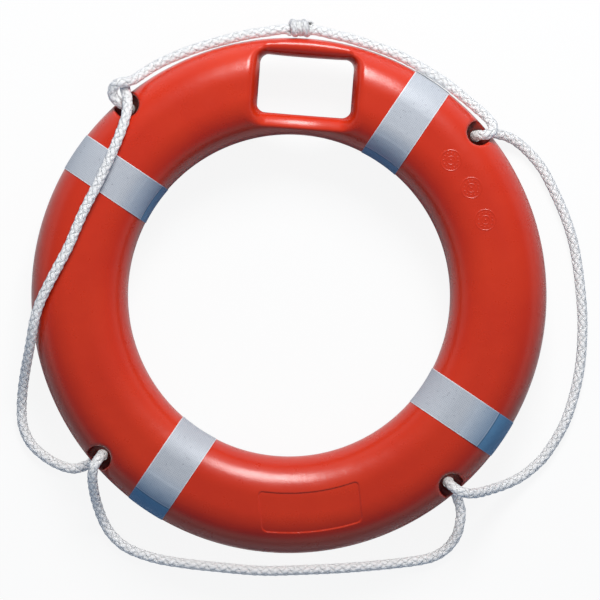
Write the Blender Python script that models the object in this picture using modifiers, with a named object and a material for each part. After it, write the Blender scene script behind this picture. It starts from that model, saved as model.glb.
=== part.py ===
"""Ring lifebuoy lying on its back, with its grab line laid out round it.

Units are metres and +Z is up. The ring's axis is +Z, its front face looks up and the hand slot lies
towards +Y. The origin is on the floor under the centre of the ring. Places round the ring are given as
degrees clockwise from the hand slot, seen from the front, and heights are taken from the mid-plane,
where the front and back shells are welded together.
"""
import math

import bmesh
import bpy
from mathutils import Vector

# Ring
OUTER_RADIUS = 0.320
INNER_RADIUS = 0.200
THICKNESS = 0.100
CROWN_FLAT = 0.018
SECTION_POWER = 2.15
WALL = 0.003
GAP = 0.0003

# Hand slot
SLOT_OUTER_BAR = 0.0235
SLOT_INNER_BAR = 0.024
SLOT_WIDTH = 0.117
SLOT_CORNER = 0.011
SLOT_FLARE_RUN = 0.014
SLOT_BAR_RUN = 0.0175
SLOT_FLARE_RISE = 0.028

# Rope holes and the scooped pockets that they open into
HOLE_ANGLES = (45.0, 135.0, 225.0, 315.0)
HOLE_FROM_RIM = 0.015
HOLE_CLEARANCE = 0.0013
HOLE_FLARE_RUN = 0.0035
HOLE_FLARE_RISE = 0.006
POCKET_FROM_RIM = 0.011
POCKET_RADIUS = 0.0155
WEB_THICKNESS = 0.024

# Shallow panel for a label, on the front
LABEL_ANGLE = 169.7
LABEL_FROM_OPENING = 0.0434
LABEL_FROM_RIM = 0.0275
LABEL_WIDTH = 0.124
LABEL_CORNER = 0.006
LABEL_DEPTH = 0.0012

# Retroreflective tape
TAPE_ANGLES = (29.5, 119.5, 209.5, 299.5)
TAPE_NAMES = ("upper_right", "lower_right", "lower_left", "upper_left")
TAPE_WIDTH = 0.050
TAPE_THICKNESS = 0.0004

# Plugs in the back, which close the foam filling hole and the vent
FILL_PLUG_ANGLE = 180.0
FILL_PLUG_HEAD_RADIUS = 0.014
FILL_PLUG_SHANK_RADIUS = 0.009
VENT_PLUG_ANGLE = 262.0
VENT_PLUG_HEAD_RADIUS = 0.009
VENT_PLUG_SHANK_RADIUS = 0.005
PLUG_HEAD_THICKNESS = 0.0012
PLUG_LENGTH = 0.012

# Grab line
ROPE_DIAMETER = 0.013
KNOT_ANGLE = 357.8
KNOT_HALF_LENGTH = 0.018
KNOT_RADIAL_RADIUS = 0.0112
KNOT_AXIAL_RADIUS = 0.015
KNOT_CLEARANCE = 0.0008
KNOT_HEIGHT = 0.012

# Facets
RING_STEPS = 50
QUARTER_STEPS = 5
INNER_QUARTER_STEPS = 4
CORNER_STEPS = 3
HOLE_SIDES = 12
ROPE_MAX_TURN = math.radians(29)
ROPE_END_STRAIGHT = 0.0025
ROPE_SAMPLES = 12
ROPE_MAX_STEP = 0.048

# The grab line as one rope, clockwise from the knot: degrees clockwise from the hand slot, millimetres
# from the ring's axis, millimetres above the mid-plane. Each stretch starts where the last one ends.
GRAB_LINE = (
    ("grab_line_top_right", (
        (1.03, 330, 13), (1.8, 329.9, 13.1), (5, 328, 14.5), (10, 326.9, 15), (20, 326.8, 15),
        (30, 326.8, 15), (36, 327.2, 15), (40.5, 328.5, 15.5), (43.6, 329.8, 18), (45.6, 328.5, 23),
        (46.6, 323, 28), (46.4, 315.2, 29), (45.5, 308.6, 24), (45, 305.3, 15), (45, 305, 7), (45, 305, 0))),
    ("grab_line_right_loop", (
        (45, 305, 0), (45, 305, -11), (45.1, 308.4, -20), (45.9, 317, -27.5), (47.5, 328.5, -34.5),
        (50.2, 340.6, -40), (53.5, 348.2, -43.6), (57.5, 353.5, -44), (61.3, 356, -44), (69.4, 359.8, -44),
        (76.6, 362.8, -44), (86.4, 366.5, -44), (94, 371.5, -44), (101.3, 376.6, -44), (109.7, 380.6, -44),
        (116.6, 378.8, -44), (120.1, 375.2, -43.6), (123.6, 368.5, -40), (126.6, 359.3, -30),
        (129.2, 349.2, -13), (131.5, 340, 7), (133.3, 330.5, 22), (134.4, 320.5, 28.5),
        (134.9, 311.3, 26), (135, 306, 16.5), (135, 305, 7), (135, 305, 0))),
    ("grab_line_bottom_loop", (
        (135, 305, 0), (135, 305, -11), (135.1, 308.4, -20), (135.3, 317, -28.5), (135.8, 329.5, -37.5),
        (136.8, 344, -43), (138.5, 356, -44), (140.7, 367, -44), (143.8, 373.8, -44), (147.4, 373.2, -44),
        (153.2, 362.5, -44), (163, 349.4, -44), (173.2, 344.4, -44), (181.7, 346.9, -44),
        (191, 352.8, -44), (197, 360.8, -44), (202.7, 370, -44), (208, 375.8, -44), (211.8, 373.5, -43.6),
        (214.9, 366, -39), (218.2, 353.5, -22), (220.7, 342, 1), (222.8, 331, 20.5), (224.2, 320.8, 28.5),
        (224.8, 311.3, 26), (225, 306, 16.5), (225, 305, 7), (225, 305, 0))),
    ("grab_line_left_loop", (
        (225, 305, 0), (225, 305, -11), (225.1, 308.4, -20), (225.2, 317, -28.5), (225.5, 329.5, -37.5),
        (226.6, 345.5, -43.6), (228.9, 357, -44), (232.1, 366.6, -44), (235.7, 372.8, -44),
        (239.2, 371.6, -43.6), (242.6, 363.6, -40), (246, 353, -28), (249.5, 341.5, -9), (253, 330.5, 12),
        (256.4, 322, 29.2), (260, 315, 40.4), (263.8, 306.8, 47.2), (268.3, 295.5, 53),
        (273.2, 285, 56.2), (278.4, 277, 57.4), (287.3, 272.6, 57.8), (296.8, 272.4, 57.8),
        (304, 278.6, 57.4), (309, 286.8, 56), (313.2, 298, 51.5), (315.9, 312, 40))),
    ("grab_line_hitch", (
        (315.9, 312, 40), (316.7, 321.5, 29), (317.1, 327.2, 15), (317.2, 328.4, 0), (316.9, 325.6, -14.5),
        (316.1, 317.5, -24.5), (315.3, 308.6, -21.5), (315, 304.8, -12), (315, 304.8, 0), (315, 305, 11),
        (314.7, 308.6, 20), (314.2, 316.6, 26.5), (314, 325, 28), (314.4, 331.5, 30),
        (315.3, 335.6, 34), (316.4, 336.2, 38), (317.6, 333.5, 39.3), (318.7, 330, 35.5), (320, 328.4, 27.5),
        (322, 328.8, 19.5), (325, 329.3, 15.5))),
    ("grab_line_top_left", (
        (325, 329.3, 15.5), (329, 328.4, 15), (336, 327, 15), (345, 326.9, 15), (350.6, 328, 14.5),
        (353.8, 329.9, 13.1), (354.57, 330, 13))),
)

RING_CENTRE = (OUTER_RADIUS + INNER_RADIUS) / 2
SLOT_HEIGHT = OUTER_RADIUS - SLOT_OUTER_BAR - INNER_RADIUS - SLOT_INNER_BAR
SLOT_CENTRE = INNER_RADIUS + SLOT_INNER_BAR + SLOT_HEIGHT / 2
HOLE_CENTRE = OUTER_RADIUS - HOLE_FROM_RIM
POCKET_CENTRE = OUTER_RADIUS - POCKET_FROM_RIM
KNOT_CENTRE = OUTER_RADIUS + KNOT_RADIAL_RADIUS + KNOT_CLEARANCE
MID_HEIGHT = THICKNESS / 2 + GAP + TAPE_THICKNESS
CLEAR_ABOVE = THICKNESS / 2 + 0.020

ORANGE = (0.61, 0.045, 0.016)


def empty_the_file():
    for thing in list(bpy.data.objects):
        bpy.data.objects.remove(thing, do_unlink=True)


def make_collection(name):
    group = bpy.data.collections.new(name)
    bpy.context.scene.collection.children.link(group)
    return group


def add_object(name, data, group, frame):
    thing = bpy.data.objects.new(name, data)
    group.objects.link(thing)
    thing.parent = frame
    return thing


def make_cutter(thing):
    thing.hide_render = True
    thing.display_type = "WIRE"


def finish_material(thing, colour, roughness, metallic=0.0):
    paint = bpy.data.materials.new(thing.name)
    paint.use_nodes = True
    shader = paint.node_tree.nodes["Principled BSDF"]
    shader.inputs["Base Color"].default_value = (*colour, 1.0)
    shader.inputs["Roughness"].default_value = roughness
    shader.inputs["Metallic"].default_value = metallic
    thing.data.materials.clear()
    thing.data.materials.append(paint)


def ring_place(angle, radius, height=0.0):
    """A point given by degrees clockwise from the hand slot, distance from the axis and height."""
    turn = math.radians(angle)
    return Vector((radius * math.sin(turn), radius * math.cos(turn), height))


def outer_quarter(inset, steps):
    """A quarter of the section from the crown flat's edge to the equator, as (outward, height) pairs."""
    run = (OUTER_RADIUS - INNER_RADIUS - CROWN_FLAT) / 2 - inset
    rise = THICKNESS / 2 - inset
    power = 2 / SECTION_POWER
    points = []
    for step in range(steps + 1):
        turn = math.pi / 2 * (1 - step / steps)
        outward = CROWN_FLAT / 2 + run * max(math.cos(turn), 0.0) ** power
        height = rise * max(math.sin(turn), 0.0) ** power
        points.append((outward, height))
    return points


def surface_height(radius, inset=0.0):
    """Height of the ring's front face at a distance from the axis."""
    run = (OUTER_RADIUS - INNER_RADIUS - CROWN_FLAT) / 2 - inset
    rise = THICKNESS / 2 - inset
    share = min(max((abs(radius - RING_CENTRE) - CROWN_FLAT / 2) / run, 0.0), 1.0)
    return rise * (1 - share ** SECTION_POWER) ** (1 / SECTION_POWER)


def full_section(inset, steps):
    """The closed section as (radius, height) pairs, down the outer side and up the inner side."""
    upper = outer_quarter(inset, steps)
    lower = [(outward, -height) for outward, height in reversed(upper[:-1])]
    side = upper + lower
    outer = [(RING_CENTRE + outward, height) for outward, height in side]
    inner = [(RING_CENTRE - outward, height) for outward, height in reversed(side)]
    return outer + inner


def half_section(side):
    """The section of one shell's outside, cut off flat just short of the mid-plane."""
    upper = outer_quarter(0.0, QUARTER_STEPS)
    upper[-1] = (upper[-1][0], GAP / 2)
    outer = [(RING_CENTRE + outward, height) for outward, height in upper]
    inner = [(RING_CENTRE - outward, height) for outward, height in reversed(upper)]
    loop = outer + inner
    if side < 0:
        loop = [(radius, -height) for radius, height in reversed(loop)]
    return loop


def turned(name, loop, group, frame, steps=RING_STEPS):
    """A solid turned round the ring's axis from a closed loop of (radius, height) pairs."""
    mesh = bpy.data.meshes.new(name)
    count = len(loop)
    edges = [(index, (index + 1) % count) for index in range(count)]
    mesh.from_pydata([(radius, 0.0, height) for radius, height in loop], edges, [])
    thing = add_object(name, mesh, group, frame)
    screw = thing.modifiers.new("Turn", "SCREW")
    screw.axis = "Z"
    screw.angle = math.tau
    screw.steps = steps
    screw.render_steps = steps
    screw.use_merge_vertices = True
    screw.merge_threshold = 0.00001
    screw.use_smooth_shade = True
    return thing


def cut(thing, cutter, operation="DIFFERENCE"):
    boolean = thing.modifiers.new(operation.title(), "BOOLEAN")
    boolean.operation = operation
    boolean.solver = "EXACT"
    boolean.object = cutter


def loft(mesh_builder, rings):
    """Adds a closed solid through rings of equal numbers of points, with a flat cap at each end."""
    rows = [[mesh_builder.verts.new(point) for point in ring] for ring in rings]
    count = len(rows[0])
    for low, high in zip(rows, rows[1:]):
        for index in range(count):
            after = (index + 1) % count
            mesh_builder.faces.new((low[index], low[after], high[after]))
            mesh_builder.faces.new((low[index], high[after], high[index]))
    mesh_builder.faces.new(list(reversed(rows[0])))
    mesh_builder.faces.new(rows[-1])


def solid_from(name, rings_of_bodies, group, frame):
    """One object that holds a lofted body for each list of rings."""
    builder = bmesh.new()
    for rings in rings_of_bodies:
        loft(builder, rings)
    bmesh.ops.recalc_face_normals(builder, faces=builder.faces)
    mesh = bpy.data.meshes.new(name)
    builder.to_mesh(mesh)
    builder.free()
    return add_object(name, mesh, group, frame)


def rounded_rectangle(width, height, corner, side_steps):
    """Points and outward normals round a rectangle with round corners, anticlockwise."""
    outline = []
    centres = ((1, 1), (-1, 1), (-1, -1), (1, -1))
    for number, (across, up) in enumerate(centres):
        centre = Vector((across * (width / 2 - corner), up * (height / 2 - corner)))
        for step in range(CORNER_STEPS + 1):
            turn = math.pi / 2 * (number + step / CORNER_STEPS)
            normal = Vector((math.cos(turn), math.sin(turn)))
            outline.append((centre + normal * corner, normal))
        following = centres[(number + 1) % 4]
        far = Vector((following[0] * (width / 2 - corner), following[1] * (height / 2 - corner)))
        start, end = centre + normal * corner, far + normal * corner
        steps = side_steps[number % 2]
        for step in range(1, steps):
            outline.append((start.lerp(end, step / steps), normal))
    return outline


def slot_cutter(name, inset, group, frame):
    """The hand slot with its bell mouths. The inset leaves a wall of that thickness round it."""
    outline = rounded_rectangle(SLOT_WIDTH, SLOT_HEIGHT, SLOT_CORNER, (5, 3))
    beyond = 0.012
    turns = [math.radians(degrees) for degrees in (0, 26, 50, 74)]
    upper = [[] for _ in range(len(turns) + 2)]
    for point, normal in outline:
        def place(offset, height):
            spot = point + normal * offset
            return Vector((spot.x, SLOT_CENTRE + spot.y, height))

        to_bar = abs(normal.y)
        reach = SLOT_FLARE_RUN + (SLOT_BAR_RUN - SLOT_FLARE_RUN) * to_bar
        run = reach - inset
        mouth = place(reach, 0.0)
        top = surface_height(math.hypot(mouth.x, mouth.y))
        rise = min(SLOT_FLARE_RISE, top * (0.7 - 0.15 * to_bar))
        start = top - rise
        for row, turn in enumerate(turns):
            offset = inset + run * (1 - math.cos(turn))
            upper[row].append(place(offset, start + (rise - inset) * math.sin(turn)))
        upper[-2].append(place(reach + beyond, top - inset + beyond * 0.7))
        upper[-1].append(place(reach + beyond, CLEAR_ABOVE))
    lower = [[Vector((spot.x, spot.y, -spot.z)) for spot in ring] for ring in reversed(upper)]
    return solid_from(name, [lower + upper], group, frame)


def circle(centre, radius, sides=HOLE_SIDES):
    return [centre + Vector((radius * math.cos(turn), radius * math.sin(turn), 0.0))
            for turn in (math.tau * (side + 0.5) / sides for side in range(sides))]


def hole_cutter(name, inset, group, frame):
    """The four rope holes through the web, with rounded mouths, or with an inset a sleeve round each."""
    radius = ROPE_DIAMETER / 2 + HOLE_CLEARANCE
    top = WEB_THICKNESS / 2
    if inset:
        levels = [(radius + HOLE_FLARE_RUN + inset, top)]
    else:
        levels = [(radius, top - HOLE_FLARE_RISE)]
        turn = math.radians(50)
        levels.append((radius + HOLE_FLARE_RUN * (1 - math.cos(turn)),
                       top - HOLE_FLARE_RISE * (1 - math.sin(turn))))
        levels.append((radius + HOLE_FLARE_RUN, top + 0.0007))
    bodies = []
    for angle in HOLE_ANGLES:
        upper = [circle(ring_place(angle, HOLE_CENTRE, height), wide) for wide, height in levels]
        lower = [circle(ring_place(angle, HOLE_CENTRE, -height), wide) for wide, height in reversed(levels)]
        bodies.append(lower + upper)
    return solid_from(name, bodies, group, frame)


def pocket_cutter(name, inset, group, frame):
    """The scooped pockets over and under the web at each rope hole."""
    floor = WEB_THICKNESS / 2 - inset
    bodies = []
    for angle in HOLE_ANGLES:
        for side in (1, -1):
            low = ring_place(angle, POCKET_CENTRE, side * floor)
            high = ring_place(angle, POCKET_CENTRE, side * CLEAR_ABOVE)
            bodies.append([circle(low, POCKET_RADIUS + inset), circle(high, POCKET_RADIUS + inset)])
    return solid_from(name, bodies, group, frame)


def label_cutter(group, frame):
    """A prism over the label panel, less everything below the panel's floor."""
    inner = INNER_RADIUS + LABEL_FROM_OPENING
    outer = OUTER_RADIUS - LABEL_FROM_RIM
    middle = (inner + outer) / 2
    turn = math.radians(LABEL_ANGLE)
    outward = Vector((math.sin(turn), math.cos(turn)))
    across = Vector((outward.y, -outward.x))
    low, high = [], []
    for point, _ in rounded_rectangle(LABEL_WIDTH, outer - inner, LABEL_CORNER, (8, 2)):
        radius = middle + point.y
        reach = math.sqrt(radius ** 2 - point.x ** 2)
        spot = outward * reach + across * point.x
        low.append(Vector((spot.x, spot.y, THICKNESS / 4)))
        high.append(Vector((spot.x, spot.y, CLEAR_ABOVE)))
    prism = solid_from("label_prism", [[low, high]], group, frame)
    floor = turned("label_floor", full_section(LABEL_DEPTH, QUARTER_STEPS), group, frame)
    make_cutter(floor)
    cut(prism, floor)
    return prism


def turned_plug(name, angle, head_radius, shank_radius, grow, group, frame):
    """A headed plug in the back, or with grow its hole, as one lofted solid."""
    back = -THICKNESS / 2
    if grow:
        levels = ((head_radius + grow, back - 0.005), (head_radius + grow, back + PLUG_HEAD_THICKNESS + grow),
                  (shank_radius + grow, back + PLUG_HEAD_THICKNESS + grow),
                  (shank_radius + grow, back + PLUG_LENGTH + grow))
    else:
        edge = 0.0004
        levels = ((head_radius - edge, back), (head_radius, back + edge),
                  (head_radius, back + PLUG_HEAD_THICKNESS), (shank_radius, back + PLUG_HEAD_THICKNESS),
                  (shank_radius, back + PLUG_LENGTH - edge), (shank_radius - edge, back + PLUG_LENGTH))
    rings = [circle(ring_place(angle, RING_CENTRE, height), radius) for radius, height in levels]
    return solid_from(name, [rings], group, frame)


def plug_sizes():
    return (("fill_plug", FILL_PLUG_ANGLE, FILL_PLUG_HEAD_RADIUS, FILL_PLUG_SHANK_RADIUS),
            ("vent_plug", VENT_PLUG_ANGLE, VENT_PLUG_HEAD_RADIUS, VENT_PLUG_SHANK_RADIUS))


def opening_cutters(inset, label, group, frame):
    """The hand slot, rope holes and pockets, which cut the shells, the cavity and the foam alike."""
    cutters = (slot_cutter("slot_" + label, inset, group, frame),
               hole_cutter("holes_" + label, inset, group, frame),
               pocket_cutter("pockets_" + label, inset, group, frame))
    for cutter in cutters:
        make_cutter(cutter)
    return cutters


def build_shells_and_foam(parts, cutters, frame):
    outside = opening_cutters(0.0, "outside", cutters, frame)
    half_step = math.pi / RING_STEPS
    cavity = turned("cavity", full_section(WALL, INNER_QUARTER_STEPS), cutters, frame)
    cavity.rotation_euler.z = half_step
    make_cutter(cavity)
    for cutter in opening_cutters(WALL, "cavity", cutters, frame):
        cut(cavity, cutter)
    label = label_cutter(cutters, frame)
    make_cutter(label)
    plug_holes = []
    for name, angle, head, shank in plug_sizes():
        hole = turned_plug(name + "_hole", angle, head, shank, GAP, cutters, frame)
        make_cutter(hole)
        plug_holes.append(hole)

    front = turned("front_shell", half_section(1), parts, frame)
    back = turned("back_shell", half_section(-1), parts, frame)
    for shell in (front, back):
        cut(shell, cavity)
        for cutter in outside:
            cut(shell, cutter)
        finish_material(shell, ORANGE, 0.38)
    cut(front, label)
    for hole in plug_holes:
        cut(back, hole)

    foam = turned("foam_core", full_section(WALL + GAP, INNER_QUARTER_STEPS), parts, frame)
    foam.rotation_euler.z = half_step
    for cutter in opening_cutters(WALL + GAP, "foam", cutters, frame):
        cut(foam, cutter)
    for hole in plug_holes:
        cut(foam, hole)
    finish_material(foam, (0.80, 0.66, 0.36), 0.95)


def build_plugs(parts, frame):
    for name, angle, head, shank in plug_sizes():
        plug = turned_plug(name, angle, head, shank, 0.0, parts, frame)
        finish_material(plug, (0.50, 0.036, 0.014), 0.45)


def build_tapes(parts, cutters, frame):
    """Each strip goes once round the section, with straight edges square to the ring's circle."""
    under = turned("tape_underside", full_section(-GAP, QUARTER_STEPS), cutters, frame)
    make_cutter(under)
    outline = full_section(-GAP - TAPE_THICKNESS, QUARTER_STEPS)
    reach = OUTER_RADIUS - INNER_RADIUS
    for angle, place in zip(TAPE_ANGLES, TAPE_NAMES):
        turn = math.radians(angle)
        along = Vector((math.sin(turn), math.cos(turn), 0.0))
        across = Vector((along.y, -along.x, 0.0)) * (TAPE_WIDTH / 2)
        centre = along * RING_CENTRE
        corners = [centre + along * reach + across, centre + along * reach - across,
                   centre - along * reach - across, centre - along * reach + across]
        rings = [[corner + Vector((0.0, 0.0, height)) for corner in corners]
                 for height in (-CLEAR_ABOVE, CLEAR_ABOVE)]
        slab = solid_from("tape_slab_" + place, [rings], cutters, frame)
        make_cutter(slab)
        tape = turned("reflective_tape_" + place, outline, parts, frame)
        cut(tape, slab, "INTERSECT")
        cut(tape, under)
        finish_material(tape, (0.46, 0.48, 0.52), 0.35)


def catmull_rom(before, start, end, after, share):
    """A point on the smooth curve between two route points."""
    square, cube = share * share, share * share * share
    return 0.5 * (start * 2 + (end - before) * share
                  + (before * 2 - start * 5 + end * 4 - after) * square
                  + (start * 3 - before - end * 3 + after) * cube)


def rope_samples():
    """Samples of one smooth curve through the whole route, and where in them each stretch lies."""
    route, spans = [], []
    for name, points in GRAB_LINE:
        first = max(len(route) - 1, 0)
        fresh = points if not route else points[1:]
        route += [ring_place(angle, radius / 1000, height / 1000) for angle, radius, height in fresh]
        spans.append((name, first * ROPE_SAMPLES, (len(route) - 1) * ROPE_SAMPLES))
    last = len(route) - 1
    samples = []
    for index in range(last):
        before = route[max(index - 1, 0)]
        after = route[min(index + 2, last)]
        for step in range(ROPE_SAMPLES):
            samples.append(catmull_rom(before, route[index], route[index + 1], after, step / ROPE_SAMPLES))
    samples.append(route[last].copy())
    return samples, spans


def tube_points(samples, first, final):
    """The points that one stretch's tube needs: close together in a bend and far apart on a straight,
    with a short straight at each end, so that two stretches meet with parallel faces."""
    onward = (samples[first + 1] - samples[max(first - 1, 0)]).normalized()
    back = (samples[final - 1] - samples[min(final + 1, len(samples) - 1)]).normalized()
    start = samples[first] + onward * (GAP / 2)
    end = samples[final] + back * (GAP / 2)
    points = [start, start + onward * ROPE_END_STRAIGHT]
    heading = onward
    for index in range(first + 1, final):
        spot = samples[index]
        if min((spot - start).length, (spot - end).length) < 2 * ROPE_END_STRAIGHT:
            continue
        following = (samples[index + 1] - spot).normalized()
        if following.angle(heading) > ROPE_MAX_TURN or (spot - points[-1]).length > ROPE_MAX_STEP:
            points.append(spot)
            heading = following
    points += [end + back * ROPE_END_STRAIGHT, end]
    return points


def build_rope(parts, frame):
    samples, spans = rope_samples()
    for name, first, final in spans:
        points = tube_points(samples, first, final)
        line = bpy.data.curves.new(name, "CURVE")
        line.dimensions = "3D"
        line.bevel_depth = ROPE_DIAMETER / 2
        line.bevel_resolution = 2
        line.use_fill_caps = True
        spline = line.splines.new("POLY")
        spline.points.add(len(points) - 1)
        for target, point in zip(spline.points, points):
            target.co = (*point, 1.0)
        rope = add_object(name, line, parts, frame)
        finish_material(rope, (0.80, 0.81, 0.82), 0.8)


def build_knot(parts, frame):
    """The outer shape of the knot that joins the two ends of the grab line."""
    centre = ring_place(KNOT_ANGLE, KNOT_CENTRE, KNOT_HEIGHT)
    outward = ring_place(KNOT_ANGLE, 1.0)
    along = Vector((outward.y, -outward.x, 0.0))
    rings = []
    for share, size in ((-1, 0.62), (-0.8, 0.86), (-0.4, 1), (0.4, 1), (0.8, 0.86), (1, 0.62)):
        ring = []
        for side in range(12):
            turn = math.tau * side / 12
            ring.append(centre + along * (share * KNOT_HALF_LENGTH)
                        + outward * (size * KNOT_RADIAL_RADIUS * math.cos(turn))
                        + Vector((0.0, 0.0, size * KNOT_AXIAL_RADIUS * math.sin(turn))))
        rings.append(ring)
    knot = solid_from("grab_line_knot", [rings], parts, frame)
    finish_material(knot, (0.80, 0.81, 0.82), 0.8)


def main():
    empty_the_file()
    parts = make_collection("life_ring")
    cutters = make_collection("cutters")
    frame = bpy.data.objects.new("mid_plane", None)
    parts.objects.link(frame)
    frame.location = (0.0, 0.0, MID_HEIGHT)
    build_shells_and_foam(parts, cutters, frame)
    build_plugs(parts, frame)
    build_tapes(parts, cutters, frame)
    build_rope(parts, frame)
    build_knot(parts, frame)
    bpy.context.view_layer.update()


main()
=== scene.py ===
"""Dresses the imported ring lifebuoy: moulded skin, reflective bands, braided grab line, light and camera.

Places round the ring are given as degrees clockwise from the hand slot, seen from the front, which looks
up, and heights are taken from the mid-plane, where the two shells are welded together.
"""
import math

import bmesh
import bpy
import numpy as np
from mathutils import Matrix, Vector


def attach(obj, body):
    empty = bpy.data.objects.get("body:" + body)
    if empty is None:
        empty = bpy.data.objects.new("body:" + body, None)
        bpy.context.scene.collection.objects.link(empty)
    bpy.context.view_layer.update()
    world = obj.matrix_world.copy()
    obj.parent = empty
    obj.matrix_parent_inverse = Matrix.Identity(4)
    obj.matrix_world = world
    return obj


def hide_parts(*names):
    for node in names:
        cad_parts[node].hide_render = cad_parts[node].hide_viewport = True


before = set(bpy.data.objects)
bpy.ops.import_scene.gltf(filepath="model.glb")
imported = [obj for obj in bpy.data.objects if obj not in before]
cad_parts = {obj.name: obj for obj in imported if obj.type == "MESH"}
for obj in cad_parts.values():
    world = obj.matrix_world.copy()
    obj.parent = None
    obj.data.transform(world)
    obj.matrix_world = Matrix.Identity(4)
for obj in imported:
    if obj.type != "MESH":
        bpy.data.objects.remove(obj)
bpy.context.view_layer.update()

# Sizes shared with the solids, in metres
OUTER_RADIUS = 0.320
INNER_RADIUS = 0.200
THICKNESS = 0.100
CROWN_FLAT = 0.018
SECTION_POWER = 2.15
MID_HEIGHT = 0.0507
RING_CENTRE = (OUTER_RADIUS + INNER_RADIUS) / 2
SECTION_RUN = (OUTER_RADIUS - INNER_RADIUS - CROWN_FLAT) / 2
SECTION_RISE = THICKNESS / 2

SLOT_CENTRE = 0.26025
SLOT_WIDTH = 0.117
SLOT_HEIGHT = 0.0725
SLOT_CORNER = 0.011
SLOT_FLARE_RUN = 0.014
SLOT_BAR_RUN = 0.0175
SLOT_FLARE_RISE = 0.028
MOUTH_SHARE = 0.7
MOUTH_SHARE_LOST = 0.15
LEAST_MOUTH = 0.004
BAR_WALL = 0.012
BAR_CROWN = 0.015

HOLE_ANGLES = (45.0, 135.0, 225.0, 315.0)
HOLE_CENTRE = 0.305
HOLE_RADIUS = 0.0069
HOLE_FLARE_RUN = 0.0035
HOLE_FLARE_RISE = 0.006
POCKET_CENTRE = 0.309
POCKET_RADIUS = 0.0155
WEB_HALF = 0.012

LABEL_ANGLE = 169.7
LABEL_RADIUS = 0.26795
LABEL_WIDTH = 0.124
LABEL_HEIGHT = 0.0491
LABEL_CORNER = 0.006
LABEL_DEPTH = 0.0012

# Each tape's place, where its end shows as an edge across it, and on which side of that edge the tape lies
# double. The end is a share of the whole way round the section, counted from the rim over the front.
TAPES = {"upper_right": (29.5, 0.415, 1), "lower_right": (119.5, 0.146, -1),
         "lower_left": (209.5, 0.131, -1), "upper_left": (299.5, 0.42, 1)}
TAPE_WIDTH = 0.050
TAPE_UNDER = 0.0003
TAPE_TOP = 0.00062
TAPE_LAP = 0.00028
TAPE_OVERLAP = 0.075
TAPE_TOP_WIDTH = 0.992
TAPE_STEPS = 216
TAPE_COLUMNS = 15
# How far before its end a tape's colour may change, as its painted blue shade does
TAPE_FADE = 0.060

# Raised round marks from the mould: degrees clockwise and distance from the axis. Each has two rings, given
# as a radius and a strength, round a hub, and a circle of dots between them.
ROUNDELS = ((45.7, 0.2595), (55.0, 0.2607), (64.5, 0.2591))
ROUNDEL_RADIUS = 0.0140
ROUNDEL_RELIEF = 0.0003
ROUNDEL_RINGS = ((0.0127, 1.0), (0.0052, 0.8))
ROUNDEL_RIDGE = 0.0010
ROUNDEL_HUB = 0.0014
ROUNDEL_HUB_STRENGTH = 1.2
ROUNDEL_DOTS = 12
ROUNDEL_DOT_CIRCLE = 0.0090
ROUNDEL_DOT = 0.0012

ROPE_RADIUS = 0.0065
KNOT_ANGLE = 357.8
KNOT_CENTRE = 0.332
KNOT_HEIGHT = 0.012

# How the skin is shaped beside the solids' own sizes
MOUTH_EDGE = 0.0015
MOUTH_LEAN = 0.7
MOUTH_SWELL = 0.02
MOUTH_SLOPE = 0.8
SLOT_REACH = 0.05
SIDES_BLEND = 0.02
BAR_LEVEL_HALF = 0.050
BAR_RISE_ALONG = 0.016
BAR_RISE_BESIDE = 0.012
BAR_LEAST_WIDTH = 0.008
BAR_FARTHEST = 0.15
POCKET_REACH = 0.02
POCKET_FLOOR_ROUND = 0.0035
POCKET_RIM_ROUND = 0.0030
LABEL_EDGE = 0.0012
LABEL_FINE_REACH = 0.003
FRONT_LEVEL = 0.01
# Painted shade in the rope pockets: how far past a pocket it reaches, the depth at which it starts, and the
# depth over which it grows
POCKET_SHADE_MARGIN = 0.002
POCKET_SHADE_FROM = 0.001
POCKET_SHADE_DEPTH = 0.008

# How finely the skin is meshed and settled on to its shape
BLANK_SIDES = 40
BLANK_STEPS = 160
BLANK_BLEND = 5
BLANK_MARGIN = 0.002
HOLE_MARGIN = 0.001
CUTTER_DEPTH = 0.2
CUTTER_SIDES = 24
VOXEL = 0.0026
SLOPE_STEP = 0.00005
LEAST_SLOPE = 0.05
LONGEST_MOVE = 0.002
SECTION_SAMPLES = 4000
SECTION_BLEND = 8
TINY = 1e-9

# How the ring stands in the picture: turned clockwise, and off the middle, in millimetres
PICTURE_TURN = 4.5
PICTURE_SHIFT = (13.7, -5.6)
PICTURE_WIDTH = 0.7456
CAMERA_HEIGHT = 5.0

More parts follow.
